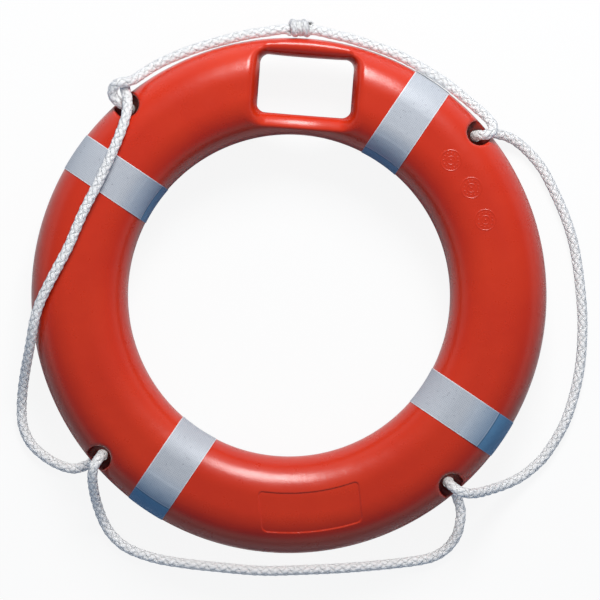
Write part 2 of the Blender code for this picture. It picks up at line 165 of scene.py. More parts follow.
# The grab line's route, the same points as in the solids: degrees, millimetres out, millimetres up
GRAB_LINE = (
    ("grab_line_top_right", (
        (1.03, 330, 13), (1.8, 329.9, 13.1), (5, 328, 14.5), (10, 326.9, 15), (20, 326.8, 15),
        (30, 326.8, 15), (36, 327.2, 15), (40.5, 328.5, 15.5), (43.6, 329.8, 18), (45.6, 328.5, 23),
        (46.6, 323, 28), (46.4, 315.2, 29), (45.5, 308.6, 24), (45, 305.3, 15), (45, 305, 7), (45, 305, 0))),
    ("grab_line_right_loop", (
        (45, 305, 0), (45, 305, -11), (45.1, 308.4, -20), (45.9, 317, -27.5), (47.5, 328.5, -34.5),
        (50.2, 340.6, -40), (53.5, 348.2, -43.6), (57.5, 353.5, -44), (61.3, 356, -44), (69.4, 359.8, -44),
        (76.6, 362.8, -44), (86.4, 366.5, -44), (94, 371.5, -44), (101.3, 376.6, -44), (109.7, 380.6, -44),
        (116.6, 378.8, -44), (120.1, 375.2, -43.6), (123.6, 368.5, -40), (126.6, 359.3, -30),
        (129.2, 349.2, -13), (131.5, 340, 7), (133.3, 330.5, 22), (134.4, 320.5, 28.5),
        (134.9, 311.3, 26), (135, 306, 16.5), (135, 305, 7), (135, 305, 0))),
    ("grab_line_bottom_loop", (
        (135, 305, 0), (135, 305, -11), (135.1, 308.4, -20), (135.3, 317, -28.5), (135.8, 329.5, -37.5),
        (136.8, 344, -43), (138.5, 356, -44), (140.7, 367, -44), (143.8, 373.8, -44), (147.4, 373.2, -44),
        (153.2, 362.5, -44), (163, 349.4, -44), (173.2, 344.4, -44), (181.7, 346.9, -44),
        (191, 352.8, -44), (197, 360.8, -44), (202.7, 370, -44), (208, 375.8, -44), (211.8, 373.5, -43.6),
        (214.9, 366, -39), (218.2, 353.5, -22), (220.7, 342, 1), (222.8, 331, 20.5), (224.2, 320.8, 28.5),
        (224.8, 311.3, 26), (225, 306, 16.5), (225, 305, 7), (225, 305, 0))),
    ("grab_line_left_loop", (
        (225, 305, 0), (225, 305, -11), (225.1, 308.4, -20), (225.2, 317, -28.5), (225.5, 329.5, -37.5),
        (226.6, 345.5, -43.6), (228.9, 357, -44), (232.1, 366.6, -44), (235.7, 372.8, -44),
        (239.2, 371.6, -43.6), (242.6, 363.6, -40), (246, 353, -28), (249.5, 341.5, -9), (253, 330.5, 12),
        (256.4, 322, 29.2), (260, 315, 40.4), (263.8, 306.8, 47.2), (268.3, 295.5, 53),
        (273.2, 285, 56.2), (278.4, 277, 57.4), (287.3, 272.6, 57.8), (296.8, 272.4, 57.8),
        (304, 278.6, 57.4), (309, 286.8, 56), (313.2, 298, 51.5), (315.9, 312, 40))),
    ("grab_line_hitch", (
        (315.9, 312, 40), (316.7, 321.5, 29), (317.1, 327.2, 15), (317.2, 328.4, 0), (316.9, 325.6, -14.5),
        (316.1, 317.5, -24.5), (315.3, 308.6, -21.5), (315, 304.8, -12), (315, 304.8, 0), (315, 305, 11),
        (314.7, 308.6, 20), (314.2, 316.6, 26.5), (314, 325, 28), (314.4, 331.5, 30),
        (315.3, 335.6, 34), (316.4, 336.2, 38), (317.6, 333.5, 39.3), (318.7, 330, 35.5), (320, 328.4, 27.5),
        (322, 328.8, 19.5), (325, 329.3, 15.5))),
    ("grab_line_top_left", (
        (325, 329.3, 15.5), (329, 328.4, 15), (336, 327, 15), (345, 326.9, 15), (350.6, 328, 14.5),
        (353.8, 329.9, 13.1), (354.57, 330, 13))),
)
STRETCH_GAP = 0.0003
ROUTE_SAMPLES = 12

# The braid: four strands each way, which pass over and under each other
BRAID_PITCH = 0.052
BRAID_STEP = 0.0018
STRANDS_EACH_WAY = 4
STRAND_MEAN = 0.655
STRAND_SWING = 0.080
STRAND_HALF_THICKNESS = 0.265
STRAND_HALF_WIDTH = 0.50
STRAND_SIDES = 8
PATH_STEP = 0.006

# The knot: close turns of a thinner plait. Its depth and rise are half sizes.
KNOT_REACH = 0.006
KNOT_STRAND = 0.0046
KNOT_PITCH = 0.036
KNOT_STEP = 0.0012
KNOT_TURNS = 3.6
KNOT_SAMPLES = 150
KNOT_LENGTH = 0.0255
KNOT_DEPTH = 0.0065
KNOT_RISE = 0.0098
KNOT_SETBACK = 0.0002
KNOT_WAIST = 0.12

# The studio, with colours as red, green, blue and alpha
FLOOR_HALF = 15
FLOOR_DROP = 0.0003
FLOOR_GLOW = 0.90
FLOOR_WHITE = (0.88, 0.88, 0.88, 1)
FLOOR_BOUNCE = (0.05, 0.13, 0.25, 1)
SKY_LOW = (0.03, 0.12, 0.27, 1)
SKY_HIGH = (0.27, 0.275, 0.28, 1)
SKY_FROM = (0.0, 0.42, 0.907)
BACKDROP_WHITE = (0.9, 0.9, 0.9, 1)
KEY_PLACE = (0.15, 2.1, 1.9)
ROPE_FILL_PLACE = (0.0, 0.0, 3.2)
LAMP_TARGET = (0, 0, 0.05)


def place(angle, radius, height=0.0):
    """A world point from degrees clockwise, distance from the axis and height over the mid-plane."""
    turn = math.radians(angle)
    return Vector((radius * math.sin(turn), radius * math.cos(turn), MID_HEIGHT + height))


def outward_at(angle):
    """The direction outwards from the axis, in plan, at a place given in degrees clockwise."""
    turn = math.radians(angle)
    return np.array((math.sin(turn), math.cos(turn)))


def smooth(value):
    """0 below 0 and 1 above 1, with a soft passage between them."""
    share = np.clip(value, 0.0, 1.0)
    return share * share * (3.0 - 2.0 * share)


def run_lengths(line):
    """How far along a line each of its points lies."""
    return np.concatenate(([0.0], np.cumsum(np.linalg.norm(np.diff(line, axis=0), axis=1))))


def put_in_scene(name, data):
    thing = bpy.data.objects.new(name, data)
    bpy.context.scene.collection.objects.link(thing)
    return thing


def object_from(name, points, faces, smooth_faces=True):
    mesh = bpy.data.meshes.new(name)
    mesh.from_pydata([tuple(point) for point in points], [], [tuple(face) for face in faces])
    mesh.update()
    thing = put_in_scene(name, mesh)
    mesh.polygons.foreach_set("use_smooth", [smooth_faces] * len(mesh.polygons))
    return thing


def points_of(mesh):
    points = np.empty(len(mesh.vertices) * 3)
    mesh.vertices.foreach_get("co", points)
    return points.reshape(-1, 3)


# The camera


def make_camera():
    """Looks straight down on the front of the ring."""
    turn = math.radians(PICTURE_TURN)
    right = Vector((math.cos(turn), math.sin(turn), 0.0))
    up = Vector((-math.sin(turn), math.cos(turn), 0.0))
    data = bpy.data.cameras.new("camera")
    data.sensor_width = 36.0
    data.lens = data.sensor_width * CAMERA_HEIGHT / PICTURE_WIDTH
    data.clip_start, data.clip_end = 0.1, 100.0
    camera = put_in_scene("camera", data)
    middle = right * (PICTURE_SHIFT[0] / 1000) + up * (PICTURE_SHIFT[1] / 1000)
    camera.location = (middle.x, middle.y, MID_HEIGHT + CAMERA_HEIGHT)
    camera.rotation_euler = (0.0, 0.0, turn)
    bpy.context.scene.camera = camera


# The grab line


def route_points():
    """Samples of one smooth curve through the whole route, and each stretch's first and last sample."""
    route, spans = [], []
    for name, points in GRAB_LINE:
        first = max(len(route) - 1, 0)
        fresh = points if not route else points[1:]
        route += [place(angle, radius / 1000, height / 1000) for angle, radius, height in fresh]
        spans.append((name, first * ROUTE_SAMPLES, (len(route) - 1) * ROUTE_SAMPLES))
    last = len(route) - 1
    samples = []
    for index in range(last):
        before, start = route[max(index - 1, 0)], route[index]
        end, after = route[index + 1], route[min(index + 2, last)]
        for step in range(ROUTE_SAMPLES):
            share = step / ROUTE_SAMPLES
            samples.append(0.5 * (start * 2 + (end - before) * share
                                  + (before * 2 - start * 5 + end * 4 - after) * share ** 2
                                  + (start * 3 - before - end * 3 + after) * share ** 3))
    samples.append(route[last].copy())
    return np.array([tuple(spot) for spot in samples]), spans


def carried_frames(line):
    """Directions along, beside and above a line that turn as little as they can."""
    along = np.gradient(line, axis=0)
    along /= np.linalg.norm(along, axis=1)[:, None]
    beside = np.zeros_like(line)
    start = np.cross(along[0], (0.0, 0.0, 1.0))
    beside[0] = start / np.linalg.norm(start)
    for index in range(1, len(line)):
        moved = beside[index - 1] - along[index] * np.dot(beside[index - 1], along[index])
        beside[index] = moved / np.linalg.norm(moved)
    return along, beside, np.cross(along, beside)


def at_lengths(values, lengths, wanted):
    return np.stack([np.interp(wanted, lengths, values[:, axis]) for axis in range(values.shape[1])], axis=1)


def braid(name, line, lengths, radius, pitch, frames=None):
    """Eight strands plaited round a line, from frames carried along it. The lengths set the plait's
    phase, so pieces cut from one line carry on from each other."""
    along, beside, above = carried_frames(line) if frames is None else frames
    points, faces, strand_uv = [], [], []
    count = len(line)
    ring = np.linspace(0.0, math.tau, STRAND_SIDES, endpoint=False)
    for way in (1, -1):
        crossings = STRANDS_EACH_WAY * math.tau * lengths / pitch
        out = radius * (STRAND_MEAN + way * STRAND_SWING * np.cos(crossings))
        for strand in range(STRANDS_EACH_WAY):
            turn = math.tau * (strand / STRANDS_EACH_WAY + way * lengths / pitch)
            outward = beside * np.cos(turn)[:, None] + above * np.sin(turn)[:, None]
            centre = line + outward * out[:, None]
            heading = np.gradient(centre, axis=0)
            heading /= np.linalg.norm(heading, axis=1)[:, None]
            lift = outward - heading * np.sum(outward * heading, axis=1)[:, None]
            lift /= np.linalg.norm(lift, axis=1)[:, None]
            across = np.cross(heading, lift)
            base = len(points)
            rows = (centre[:, None, :]
                    + lift[:, None, :] * (radius * STRAND_HALF_THICKNESS * np.cos(ring))[None, :, None]
                    + across[:, None, :] * (radius * STRAND_HALF_WIDTH * np.sin(ring))[None, :, None])
            points.extend(rows.reshape(-1, 3))
            for row in range(count - 1):
                low = base + row * STRAND_SIDES
                for side in range(STRAND_SIDES):
                    after = (side + 1) % STRAND_SIDES
                    faces.append((low + side, low + after, low + STRAND_SIDES + after,
                                  low + STRAND_SIDES + side))
                    strand_uv.append((lengths[row], lengths[row + 1], side))
            faces.append([base + side for side in reversed(range(STRAND_SIDES))])
            strand_uv.append((lengths[0], lengths[0], -1))
            top = base + (count - 1) * STRAND_SIDES
            faces.append([top + side for side in range(STRAND_SIDES)])
            strand_uv.append((lengths[-1], lengths[-1], -1))
    thing = object_from(name, points, faces)
    layer = thing.data.uv_layers.new(name="strand").data
    for polygon, (low, high, side) in zip(thing.data.polygons, strand_uv):
        if side < 0:
            continue
        corners = ((low, side), (low, side + 1), (high, side + 1), (high, side))
        for loop, (length, turn) in zip(polygon.loop_indices, corners):
            layer[loop].uv = (length * 100, turn / STRAND_SIDES)
    return thing


def make_grab_line(material):
    """Every stretch of the grab line, cut from one plait so that the strands run on from each other. The
    rope's two ends run a little way into the knot."""
    samples, spans = route_points()
    before = (samples[0] - samples[1]) / np.linalg.norm(samples[0] - samples[1])
    beyond = (samples[-1] - samples[-2]) / np.linalg.norm(samples[-1] - samples[-2])
    samples = np.vstack((samples[0] + before * KNOT_REACH, samples, samples[-1] + beyond * KNOT_REACH))
    spans = [(name, first + 1, final + 1) for name, first, final in spans]
    lengths = run_lengths(samples)
    frames = carried_frames(samples)
    stretches = {}
    for name, first, final in spans:
        start, end = lengths[first] + STRETCH_GAP / 2, lengths[final] - STRETCH_GAP / 2
        low = 0.0 if first == 1 else start
        high = lengths[-1] if final == len(samples) - 2 else end
        wanted = np.linspace(low, high, max(int((high - low) / BRAID_STEP), 2))
        line = at_lengths(samples, lengths, wanted)
        turned = []
        for values in frames:
            directions = at_lengths(values, lengths, wanted)
            turned.append(directions / np.linalg.norm(directions, axis=1)[:, None])
        piece = braid(name + "_braid", line, wanted, ROPE_RADIUS, BRAID_PITCH, turned)
        piece.data.materials.append(material)
        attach(piece, "root")
        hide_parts(name)
        path = at_lengths(samples, lengths, np.linspace(start, end, max(int((end - start) / PATH_STEP), 4)))
        stretches[name] = (piece, path, end - start)
    return stretches


def make_knot(material):
    """The rope's two ends, drawn tight round each other in a few close turns."""
    centre = np.array(place(KNOT_ANGLE, KNOT_CENTRE, KNOT_HEIGHT))
    outward = np.array(place(KNOT_ANGLE, 1.0)) - np.array(place(KNOT_ANGLE, 0.0))
    upward = np.array((0.0, 0.0, 1.0))
    along = np.cross(outward, upward)
    share = np.linspace(0.0, 1.0, KNOT_SAMPLES)
    angle = math.tau * KNOT_TURNS * (share - 0.5) + math.pi / 2
    wide = 1.0 - KNOT_WAIST * np.cos(math.tau * 2 * share)
    line = (centre[None, :]
            + along[None, :] * ((share - 0.5) * KNOT_LENGTH)[:, None]
            + outward[None, :] * (KNOT_DEPTH * np.cos(angle) * wide - KNOT_SETBACK)[:, None]
            + upward[None, :] * (KNOT_RISE * np.sin(angle) * wide)[:, None])
    lengths = run_lengths(line)
    wanted = np.linspace(0.0, lengths[-1], int(lengths[-1] / KNOT_STEP))
    knot = braid("grab_line_knot_turns", at_lengths(line, lengths, wanted), wanted, KNOT_STRAND, KNOT_PITCH)
    knot.data.materials.append(material)
    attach(knot, "root")
    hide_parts("grab_line_knot")
    return knot


# The moulded skin


def corner_join(first, second):
    """Joins two signed distances, in units of the corner's size, so that their corner is round."""
    return np.hypot(np.maximum(first + 1.0, 0.0), np.maximum(second + 1.0, 0.0)) - 1.0 + np.minimum(
        np.maximum(first, second) + 1.0, 0.0)


def rounded_join(first, second, size):
    """Joins two distances with a round corner of the given size."""
    return corner_join(first / size, second / size) * size


def ring_height(radius):
    share = np.clip((np.abs(radius - RING_CENTRE) - CROWN_FLAT / 2) / SECTION_RUN, 0.0, 1.0)
    return SECTION_RISE * (1.0 - share ** SECTION_POWER) ** (1.0 / SECTION_POWER)


def ring_distance(points):
    radius = np.hypot(points[:, 0], points[:, 1])
    across = np.maximum(np.abs(radius - RING_CENTRE) - CROWN_FLAT / 2, 0.0) / SECTION_RUN
    up = np.abs(points[:, 2]) / SECTION_RISE
    size = (across ** SECTION_POWER + up ** SECTION_POWER) ** (1.0 / SECTION_POWER)
    power = SECTION_POWER - 1.0
    safe = np.maximum(size, TINY)
    slope = np.hypot((across / safe) ** power / SECTION_RUN, (up / safe) ** power / SECTION_RISE)
    return (size - 1.0) / np.maximum(slope, 1.0)


def slot_offsets(points):
    """How far past the start of the hand slot's corners each point lies, along the slot and across it."""
    along = np.abs(points[:, 0]) - (SLOT_WIDTH / 2 - SLOT_CORNER)
    out = np.abs(points[:, 1] - SLOT_CENTRE) - (SLOT_HEIGHT / 2 - SLOT_CORNER)
    return along, out


def slot_distance(points):
    """Distance outside the hand slot's wall, negative in the slot."""
    along, out = slot_offsets(points)
    outside = np.hypot(np.maximum(along, 0.0), np.maximum(out, 0.0))
    return outside + np.minimum(np.maximum(along, out), 0.0) - SLOT_CORNER


def flare_distance(points):
    """Distance outside the hand slot's wall and its bell mouth, which opens on to the ring's face."""
    along, out = slot_offsets(points)
    size = np.hypot(np.maximum(along, 0.0), np.maximum(out, 0.0))
    to_bar = np.where(size > TINY, np.maximum(out, 0.0) / np.maximum(size, TINY), out > along)
    to_end = np.where(size > TINY, np.maximum(along, 0.0) / np.maximum(size, TINY), out <= along)
    slot = slot_distance(points)
    reach = SLOT_FLARE_RUN + (SLOT_BAR_RUN - SLOT_FLARE_RUN) * to_bar
    mouth_along = np.abs(points[:, 0]) + to_end * (reach - slot)
    mouth_out = points[:, 1] + np.sign(points[:, 1] - SLOT_CENTRE) * to_bar * (reach - slot)
    top = np.maximum(ring_height(np.hypot(mouth_along, mouth_out)), LEAST_MOUTH)
    rise = np.minimum(SLOT_FLARE_RISE, top * (MOUTH_SHARE - MOUTH_SHARE_LOST * to_bar))
    height = np.abs(points[:, 2])
    inward = np.maximum(1.0 - slot / reach, 0.0)
    up = np.maximum(height - top + rise, 0.0) / rise
    within = (np.hypot(inward, up) - 1.0) * np.minimum(rise, reach)
    past = np.maximum(slot - reach, 0.0)
    over = (height - top - past * MOUTH_LEAN - past ** 2 / MOUTH_SWELL) * MOUTH_SLOPE
    return np.where(slot < reach, within, over)


def bar_distance(points):
    """Distance outside the rounded bar between the hand slot and the rim, which lies lower than the rest
    of the ring and rises to it past the slot's ends."""
    along = np.abs(points[:, 0])
    up = np.maximum(np.abs(points[:, 2]) - BAR_WALL, 0.0) / BAR_CROWN
    rim = np.sqrt(OUTER_RADIUS ** 2 - np.minimum(along, BAR_FARTHEST) ** 2)
    edge = SLOT_CENTRE + SLOT_HEIGHT / 2
    half = np.maximum(rim - edge, BAR_LEAST_WIDTH) / 2
    from_slot = np.clip(1.0 - slot_distance(points) / half, 0.0, None)
    across = np.maximum(from_slot, (points[:, 1] - (rim - half)) / half)
    beside = np.maximum(edge - points[:, 1], 0.0)
    risen = np.maximum(along - BAR_LEVEL_HALF, 0.0) ** 2 / BAR_RISE_ALONG + beside ** 2 / BAR_RISE_BESIDE
    return (np.hypot(across, up) - 1.0) * np.minimum(half, BAR_CROWN) - risen


def cut_slot(points, field):
    """The ring's distance with the hand slot cut out of it: round edges and a rounded bar on the rim's side,
    and a bell mouth on the inner side."""
    deepest = np.maximum(MOUTH_SHARE * ring_height(np.hypot(points[:, 0], points[:, 1])), LEAST_MOUTH)
    rise = np.minimum(SLOT_FLARE_RISE, deepest)
    on_rim_side = corner_join(field / rise, -slot_distance(points) / SLOT_FLARE_RUN)
    on_rim_side = np.maximum(on_rim_side * np.minimum(rise, SLOT_FLARE_RUN), bar_distance(points))
    on_inner_side = rounded_join(field, flare_distance(points), MOUTH_EDGE)
    share = smooth((points[:, 1] - SLOT_CENTRE) / SIDES_BLEND + 0.5)
    return on_rim_side * share + on_inner_side * (1.0 - share)


def skin_distance(points):
    """Signed distance, near enough, from the moulded skin. The points are centred on the mid-plane."""
    field = ring_distance(points)
    near = slot_distance(points) < SLOT_REACH
    field[near] = cut_slot(points[near], field[near])
    flat = points[:, :2]
    for angle in HOLE_ANGLES:
        outward = outward_at(angle)
        pocket = np.linalg.norm(flat - outward * POCKET_CENTRE, axis=1) - POCKET_RADIUS
        close = pocket < POCKET_REACH
        depth = WEB_HALF - np.abs(points[close, 2])
        hollow = rounded_join(pocket[close], depth, POCKET_FLOOR_ROUND)
        here = rounded_join(field[close], -hollow, POCKET_RIM_ROUND)
        hole = np.linalg.norm(flat[close] - outward * HOLE_CENTRE, axis=1) - HOLE_RADIUS
        field[close] = corner_join(here / HOLE_FLARE_RISE, -hole / HOLE_FLARE_RUN) * HOLE_FLARE_RUN
    return field


def skin_slope(points):
    slope = np.zeros_like(points)
    for axis in range(3):
        shift = np.zeros(3)
        shift[axis] = SLOPE_STEP
        slope[:, axis] = (skin_distance(points + shift) - skin_distance(points - shift)) / (2 * SLOPE_STEP)
    return slope


def onto_skin(points, rounds):
    """Moves points on to the skin, a short way at a time."""
    for _ in range(rounds):
        field = skin_distance(points)
        slope = skin_slope(points)
        size = np.maximum(np.sum(slope ** 2, axis=1), LEAST_SLOPE)
        move = slope * (field / size)[:, None]
        length = np.linalg.norm(move, axis=1)
        points = points - move * np.minimum(1.0, LONGEST_MOVE / np.maximum(length, TINY))[:, None]
    return points


def object_of(builder, name):
    mesh = bpy.data.meshes.new(name)
    builder.to_mesh(mesh)
    builder.free()
    return put_in_scene(name, mesh)


def blank_solid():
    """A plain ring, before anything is cut out of it."""
    power = 2 / SECTION_POWER
    outline = []
    for step in range(BLANK_SIDES):
        turn = math.tau * step / BLANK_SIDES
        cosine, sine = math.cos(turn), math.sin(turn)
        run = CROWN_FLAT / 2 * min(abs(cosine) * BLANK_BLEND, 1) + SECTION_RUN * abs(cosine) ** power
        outline.append((RING_CENTRE + math.copysign(run, cosine),
                        math.copysign(SECTION_RISE * abs(sine) ** power, sine)))
    builder = bmesh.new()
    rings = []
    for step in range(BLANK_STEPS):
        turn = math.tau * step / BLANK_STEPS
        rings.append([builder.verts.new((radius * math.cos(turn), radius * math.sin(turn), height))
                      for radius, height in outline])
    for low, high in zip(rings, rings[1:] + rings[:1]):
        for index in range(BLANK_SIDES):
            after = (index + 1) % BLANK_SIDES
            builder.faces.new((low[index], high[index], high[after], low[after]))
    bmesh.ops.recalc_face_normals(builder, faces=builder.faces)
    return object_of(builder, "blank")


def add_cylinder(builder, radius, depth, middle):
    bmesh.ops.create_cone(builder, cap_ends=True, segments=CUTTER_SIDES, radius1=radius, radius2=radius,
                          depth=depth, matrix=Matrix.Translation(middle))


def blank_cutter():
    """What the hand slot, the rope holes and their pockets take out of the plain ring."""
    builder = bmesh.new()
    slot = (SLOT_WIDTH + 2 * BLANK_MARGIN, SLOT_HEIGHT + 2 * BLANK_MARGIN, CUTTER_DEPTH, 1)
    bmesh.ops.create_cube(builder, size=1.0,
                          matrix=Matrix.Translation((0, SLOT_CENTRE, 0)) @ Matrix.Diagonal(slot))
    for angle in HOLE_ANGLES:
        outward = Vector((*outward_at(angle), 0.0))
        add_cylinder(builder, HOLE_RADIUS + HOLE_MARGIN, CUTTER_DEPTH, outward * HOLE_CENTRE)
        for side in (1, -1):
            raised = Vector((0.0, 0.0, side * (WEB_HALF + CUTTER_DEPTH / 4)))
            add_cylinder(builder, POCKET_RADIUS, CUTTER_DEPTH / 2, outward * POCKET_CENTRE + raised)
    return object_of(builder, "blank_cutter")


def blank_ring():
    """A closed ring with the slot and rope holes cut through it, in voxel quads."""
    ring, cutter = blank_solid(), blank_cutter()
    boolean = ring.modifiers.new("cut", "BOOLEAN")
    boolean.solver = "EXACT"
    boolean.use_self = True
    boolean.object = cutter
    remesh = ring.modifiers.new("voxels", "REMESH")
    remesh.mode = "VOXEL"
    remesh.voxel_size = VOXEL
    shown = ring.evaluated_get(bpy.context.evaluated_depsgraph_get())
    result = bpy.data.meshes.new_from_object(shown)
    for thing in (ring, cutter):
        bpy.data.objects.remove(thing, do_unlink=True)
    return result


def label_distance(points):
    """Distance outside the edge of the label panel, in plan, negative in the panel."""
    outward = outward_at(LABEL_ANGLE)
    across = points[:, :2] @ np.array((outward[1], -outward[0]))
    out = np.hypot(points[:, 0], points[:, 1]) - LABEL_RADIUS
    reach = points[:, :2] @ outward
    wide = np.abs(across) - (LABEL_WIDTH / 2 - LABEL_CORNER)
    tall = np.abs(out) - (LABEL_HEIGHT / 2 - LABEL_CORNER)
    outside = np.hypot(np.maximum(wide, 0.0), np.maximum(tall, 0.0))
    edge = outside + np.minimum(np.maximum(wide, tall), 0.0) - LABEL_CORNER
    return np.where((reach > 0) & (points[:, 2] > FRONT_LEVEL), edge, 1.0)


def roundel_relief(points):
    """Height of the raised round marks: two rings, a hub and twelve dots, with no lettering."""
    relief = np.zeros(len(points))
    for angle, radius in ROUNDELS:
        across = points[:, :2] - outward_at(angle) * radius
        far = np.linalg.norm(across, axis=1)
        marks = [strength - np.abs(far - ring) / ROUNDEL_RIDGE for ring, strength in ROUNDEL_RINGS]
        marks.append(ROUNDEL_HUB_STRENGTH - far / ROUNDEL_HUB)
        spread = ROUNDEL_DOTS / 2
        beside = np.abs(np.sin(np.arctan2(across[:, 1], across[:, 0]) * spread)) / spread * far
        marks.append(1.0 - np.hypot(beside, far - ROUNDEL_DOT_CIRCLE) / ROUNDEL_DOT)
        mark = smooth(np.maximum.reduce(marks))
        relief = np.maximum(relief, np.where(points[:, 2] > FRONT_LEVEL, mark, 0.0))
    return relief * ROUNDEL_RELIEF


def near_roundels(points):
    near = np.zeros(len(points), bool)
    for angle, radius in ROUNDELS:
        far = np.linalg.norm(points[:, :2] - outward_at(angle) * radius, axis=1)
        near |= (far < ROUNDEL_RADIUS) & (points[:, 2] > FRONT_LEVEL)
    return near


def near_panel_edge(points):
    return np.abs(label_distance(points)) < LABEL_FINE_REACH


def refine(builder, wanted, rounds):
    """Splits the edges that lie where the test asks for finer faces."""
    for _ in range(rounds):
        points = np.array([tuple(vertex.co) for vertex in builder.verts])
        chosen = wanted(points)
        builder.verts.ensure_lookup_table()
        edges = [edge for edge in builder.edges
                 if chosen[edge.verts[0].index] or chosen[edge.verts[1].index]]
        bmesh.ops.subdivide_edges(builder, edges=edges, cuts=1, use_grid_fill=True)
        builder.verts.index_update()
        points = np.array([tuple(vertex.co) for vertex in builder.verts])
        for vertex, spot in zip(builder.verts, onto_skin(points, 2)):
            vertex.co = spot


def paint_pocket_shade(mesh):
    """Marks how deep each point lies in a rope pocket, for the painted shade that darkens the plastic there.
    """
    points = points_of(mesh)
    pocket_shade = np.zeros(len(points))
    below = ring_height(np.hypot(points[:, 0], points[:, 1])) - np.abs(points[:, 2] - MID_HEIGHT)
    depth = np.clip((below - POCKET_SHADE_FROM) / POCKET_SHADE_DEPTH, 0.0, 1.0)
    for angle in HOLE_ANGLES:
        far = np.linalg.norm(points[:, :2] - outward_at(angle) * POCKET_CENTRE, axis=1)
        pocket_shade = np.maximum(pocket_shade, np.where(far < POCKET_RADIUS + POCKET_SHADE_MARGIN, depth, 0.0))
    layer = mesh.attributes.new(name="pocket_shade", type="FLOAT", domain="POINT")
    layer.data.foreach_set("value", pocket_shade)


def make_skins(material):
    """The front and back of the moulded ring, parted where the shells are welded."""
    mesh = blank_ring()
    mesh.vertices.foreach_set("co", onto_skin(points_of(mesh), 7).ravel())
    builder = bmesh.new()
    builder.from_mesh(mesh)
    refine(builder, near_panel_edge, 2)
    refine(builder, near_roundels, 3)
    spots = np.array([tuple(vertex.co) for vertex in builder.verts])
    sunk = LABEL_DEPTH * smooth(0.5 - label_distance(spots) / LABEL_EDGE) - roundel_relief(spots)
    normals = skin_slope(spots)
    normals /= np.maximum(np.linalg.norm(normals, axis=1), TINY)[:, None]
    for vertex, spot in zip(builder.verts, spots - normals * sunk[:, None]):
        vertex.co = spot

    for name, side in (("front_shell", 1), ("back_shell", -1)):
        half = builder.copy()
        bmesh.ops.bisect_plane(half, geom=half.verts[:] + half.edges[:] + half.faces[:], dist=1e-6,
                               plane_co=(0, 0, side * STRETCH_GAP / 2), plane_no=(0, 0, side),
                               clear_inner=True)
        for face in half.faces:
            face.smooth = True
        data = bpy.data.meshes.new(name + "_skin")
        half.to_mesh(data)
        half.free()
        data.transform(Matrix.Translation((0.0, 0.0, MID_HEIGHT)))
        data.materials.append(material)
        paint_pocket_shade(data)
        skin = put_in_scene(name + "_skin", data)
        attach(skin, "root")
        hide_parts(name)
    builder.free()


# The reflective tape


def section_outline(steps):
    """The ring's section from the rim over the front to the inside and back: points and outward normals."""
    turns = np.linspace(0.0, math.tau, SECTION_SAMPLES, endpoint=False)
    cosine, sine = np.cos(turns), np.sin(turns)
    power = 2 / SECTION_POWER
    flat = CROWN_FLAT / 2 * np.clip(cosine * SECTION_BLEND, -1, 1)
    radius = RING_CENTRE + flat + SECTION_RUN * np.sign(cosine) * np.abs(cosine) ** power
    height = SECTION_RISE * np.sign(sine) * np.abs(sine) ** power
    gaps = np.hypot(np.diff(radius, append=radius[0]), np.diff(height, append=height[0]))
    far = np.concatenate(([0.0], np.cumsum(gaps)))
    wanted = np.linspace(0.0, far[-1], steps, endpoint=False)
    radius = np.interp(wanted, far, np.append(radius, radius[0]))
    height = np.interp(wanted, far, np.append(height, height[0]))
    ahead = np.stack((np.roll(radius, -1) - np.roll(radius, 1), np.roll(height, -1) - np.roll(height, 1)), 1)
    ahead /= np.linalg.norm(ahead, axis=1)[:, None]
    return radius, height, ahead[:, 1], -ahead[:, 0], wanted, far[-1]


def make_tape(place_name, angle, end_share, side, material):
    """A strip stuck once round the section, whose end laps over its start. Its UV is the distance past
    that end and the distance from the strip's middle line, both in millimetres."""
    radius, height, normal_out, normal_up, along, whole = section_outline(TAPE_STEPS)
    lap = (((end_share - along / whole) * side) % 1.0 < TAPE_OVERLAP).astype(float) * TAPE_LAP
    from_end = ((along - end_share * whole) * side + TAPE_FADE) % whole - TAPE_FADE
    outward = outward_at(angle)
    across = np.array((outward[1], -outward[0]))
    shares = [1.0 - 2 * column / (TAPE_COLUMNS - 1) for column in range(TAPE_COLUMNS)]
    edge = [share * TAPE_TOP_WIDTH for share in shares] + shares[::-1]
    lift = [1.0] * TAPE_COLUMNS + [0.0] * TAPE_COLUMNS
    points, faces, uvs = [], [], []
    for index in range(TAPE_STEPS):
        for share, raised in zip(edge, lift):
            offset = TAPE_UNDER + (TAPE_TOP - TAPE_UNDER + lap[index]) * raised
            from_axis = radius[index] + normal_out[index] * offset
            wide = share * TAPE_WIDTH / 2
            spot = outward * math.sqrt(from_axis ** 2 - wide ** 2) + across * wide
            points.append((spot[0], spot[1], MID_HEIGHT + height[index] + normal_up[index] * offset))
            uvs.append((from_end[index] * 1000, wide * 1000))
    row = len(edge)
    step = whole * 1000 / TAPE_STEPS
    corner_uvs = []
    for index in range(TAPE_STEPS):
        after = (index + 1) % TAPE_STEPS
        here, ahead = index * row, after * row
        for column in range(row):
            beside = (column + 1) % row
            corners = (here + column, ahead + column, ahead + beside, here + beside)
            faces.append(corners)
            low = uvs[corners[0]][0] if side > 0 else uvs[corners[1]][0] + step
            corner_uvs.append([(low + (step * side if corner in corners[1:3] else 0.0), uvs[corner][1])
                               for corner in corners])
    tape = object_from("reflective_tape_" + place_name + "_strip", points, faces)
    tape.data.set_sharp_from_angle(angle=math.radians(35))
    layer = tape.data.uv_layers.new(name="UVMap").data
    for polygon, corners in zip(tape.data.polygons, corner_uvs):
        for loop, spot in zip(polygon.loop_indices, corners):
            layer[loop].uv = spot
    tape.data.materials.append(material)
    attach(tape, "root")
    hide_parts("reflective_tape_" + place_name)


# The materials


